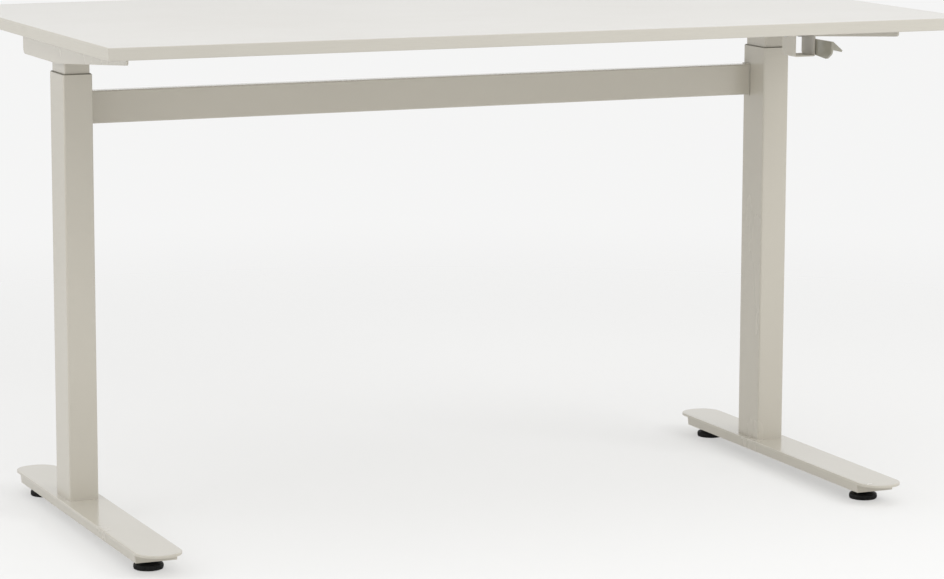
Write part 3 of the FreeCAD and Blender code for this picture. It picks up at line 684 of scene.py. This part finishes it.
def glidePad(tree, node, name):
    s = glideSetup
    low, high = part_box(node)
    rim = (high.x - low.x) / 2.0
    tall = high.z - low.z
    body = rim - s["ribRadius"]
    neck = s["neckRadius"]
    rings = [(0.9 * mm, s["neckRadius"]), (0.0, rim * 0.62), (0.0, body - 1.6 * mm), (0.3 * mm,
                                                                                      body - 0.6 * mm),
             (0.9 * mm, body), (tall * 0.60, body), (tall * 0.66, body - 0.25 * mm), (tall * 0.70,
                                                                                      body - 0.9 * mm)]
    for i in range(1, 6):  # hollow slope up to the neck
        share = i / 5.0
        rings.append((tall * (0.70 + 0.22 * share ** 1.5),
                      body - 0.9 * mm - (body - 0.9 * mm - neck) * share))
    rings += [(tall - 0.3 * mm, neck - 0.1 * mm), (tall, neck - 0.5 * mm), (tall, s["seatRadius"]),
              (tall - s["seatDepth"], s["seatRadius"])]
    mesh = tree.grow(name, turnedMesh(name + "Body", rings, s["steps"]), **{
        "Rim Radius": rim - s["ribRadius"], "Rib Height": s["ribHigh"] - s["ribLow"],
        "Rib Middle": (s["ribHigh"] + s["ribLow"]) / 2.0})
    mesh.transform(Matrix.Translation(((low.x + high.x) / 2.0, (low.y + high.y) / 2.0, low.z)))
    finishPiece(linked(mesh, name), [node])


def glideStud(tree, node, name):
    s = threadSetup
    low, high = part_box(node)
    radius = (high.x - low.x) / 2.0
    tall = high.z - low.z
    core = radius - s["depth"]
    rings = [(0.0, core - 0.4 * mm), (0.4 * mm, core), (tall - 0.6 * mm, core), (tall, core - 0.5 * mm)]
    mesh = tree.grow(name, turnedMesh(name + "Core", rings, 24), **{
        "Wound Radius": radius - s["depth"] / 2.0, "Wire Radius": s["depth"] / 2.0,
        "Turns": (tall - 1.4 * mm) / s["pitch"], "Wound Length": tall - 1.4 * mm,
        "Wire Steps": s["wireSteps"],
        "Material": finishes[slotOf[node]]})
    mesh.transform(Matrix.Translation(((low.x + high.x) / 2.0, (low.y + high.y) / 2.0, low.z)))
    finishPiece(linked(mesh, name), [node])


ribs = ribTree()
thread = threadTree()
for corner in ("front_left", "front_right", "rear_left", "rear_right"):
    glidePad(ribs, "glide_pad_" + corner, "glidePad_" + corner)
    glideStud(thread, "glide_stud_" + corner, "glideStud_" + corner)
print("glides made")


# the crossbar is welded to the columns all round

weldSetup = {"beadRadius": 1.7 * mm, "beadStep": 1.5 * mm, "beadFlat": 0.62, "inset": 0.2 * mm}


def weldTree():
    # overlapping beads laid along a closed path, each a little different
    g = Growth("weldRun", {"Bead Radius": weldSetup["beadRadius"], "Bead Step": weldSetup["beadStep"],
                           "Bead Flat": weldSetup["beadFlat"], "Unevenness": 0.12, "Seed": 7,
                           "Material": finishes["frame_paint"]})
    path = g.add("GeometryNodeMeshToCurve", None, {"Mesh": g.given("Geometry")})
    path = g.add("GeometryNodeResampleCurve", {"mode": "LENGTH"}, {"Curve": path,
                                                                   "Length": g.given("Bead Step")})
    bead = g.add("GeometryNodeMeshIcoSphere", None, {"Radius": g.given("Bead Radius"), "Subdivisions": 2})
    spread = g.given("Unevenness")
    size = g.add("FunctionNodeRandomValue", {"data_type": "FLOAT"},
                 {2: 1.0 - spread, 3: 1.0, "Seed": g.given("Seed")}, 1)
    flat = g.add("ShaderNodeCombineXYZ", None, {"X": size * g.given("Bead Flat"), "Y": size, "Z": size})
    run = g.add("GeometryNodeInstanceOnPoints", None, {"Points": path, "Instance": bead, "Scale": flat})
    g.ends(run)
    return g


def crossbarWelds(tree):
    s = weldSetup
    low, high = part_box("crossbar")
    points = []
    joins = []
    margin = s["inset"] + s["beadRadius"] * s["beadFlat"]
    for x in (low.x + margin, high.x - margin):
        first = len(points)
        points += [(x, low.y, low.z), (x, high.y, low.z), (x, high.y, high.z), (x, low.y, high.z)]
        joins += [(first + i, first + (i + 1) % 4) for i in range(4)]
    mesh = tree.grow("crossbarWelds", pointMesh("weldPath", points, joins))
    piece = linked(mesh, "crossbarWelds")
    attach(piece, bodyOf["crossbar"])


crossbarWelds(weldTree())
print("welds laid")


# floor and sky

def makeFloor():
    setup = stageSetup
    half = setup["floorSize"] / 2.0
    mesh = bpy.data.meshes.new("studioFloor")
    corners = [(-half, -half, 0.0), (half, -half, 0.0), (half, half, 0.0), (-half, half, 0.0)]
    mesh.from_pydata(corners, [], [(0, 1, 2, 3)])
    floor = bpy.data.objects.new("studioFloor", mesh)
    bpy.context.scene.collection.objects.link(floor)
    f = Finish("studio floor")
    grain = f.noise(300.0, 2.0)
    cloud = f.noise(0.8, 2.0)
    colour = f.mixed(f.spread(cloud, 0.3, 0.7) * 0.2, setup["floorColour"],
                     [c * 0.995 for c in setup["floorColour"]])
    seen = f.add("ShaderNodeLightPath", output="Is Camera Ray")
    colour = f.mixed(seen, colour, setup["floorSeen"])
    normal = f.relief(grain, 0.00002)
    paper = f.add("ShaderNodeBsdfPrincipled", None,
                  {"Base Color": colour, "Roughness": 0.9 + grain * 0.05, "Normal": normal,
                   "Specular IOR Level": 0.0})
    clear = f.add("ShaderNodeBsdfTransparent")
    reach = f.add("ShaderNodeVectorMath", {"operation": "LENGTH"}, {0: f.place}, "Value")
    below = f.add("ShaderNodeNewGeometry",
                  output="Backfacing")  # the floor doesn't veil the desk from underneath
    fade = f.spread(reach, setup["fadeFrom"], setup["fadeTo"], (setup["shadowEase"], 1.0))
    fade = fade.calc("MAXIMUM", fade, below) * seen
    surface = f.add("ShaderNodeMixShader", None, {0: fade, 1: paper, 2: clear})
    f.add("ShaderNodeOutputMaterial", None, {"Surface": surface})
    mesh.materials.append(f.material)


def makeSky():
    setup = stageSetup
    world = bpy.data.worlds.new("studioSky")
    world.use_nodes = True
    bpy.context.scene.world = world
    w = Net(world.node_tree)
    world.node_tree.nodes.clear()
    camera = w.add("ShaderNodeLightPath", output="Is Camera Ray")
    glossy = w.add("ShaderNodeLightPath", output="Is Glossy Ray")
    through = w.add("ShaderNodeLightPath", output="Is Transmission Ray")
    seen = (camera + glossy + through).calc("MINIMUM", camera + glossy + through, 1.0)
    lit = w.add("ShaderNodeBackground", None,
                {"Color": (*setup["skyTint"], 1.0), "Strength": setup["skyLight"]})
    plain = w.add("ShaderNodeBackground", None, {"Color": (*setup["backdrop"], 1.0), "Strength": 1.0})
    both = w.add("ShaderNodeMixShader", None, {0: seen, 1: lit, 2: plain})
    w.add("ShaderNodeOutputWorld", None, {"Surface": both})


makeFloor()
makeSky()
print("floor and sky made")
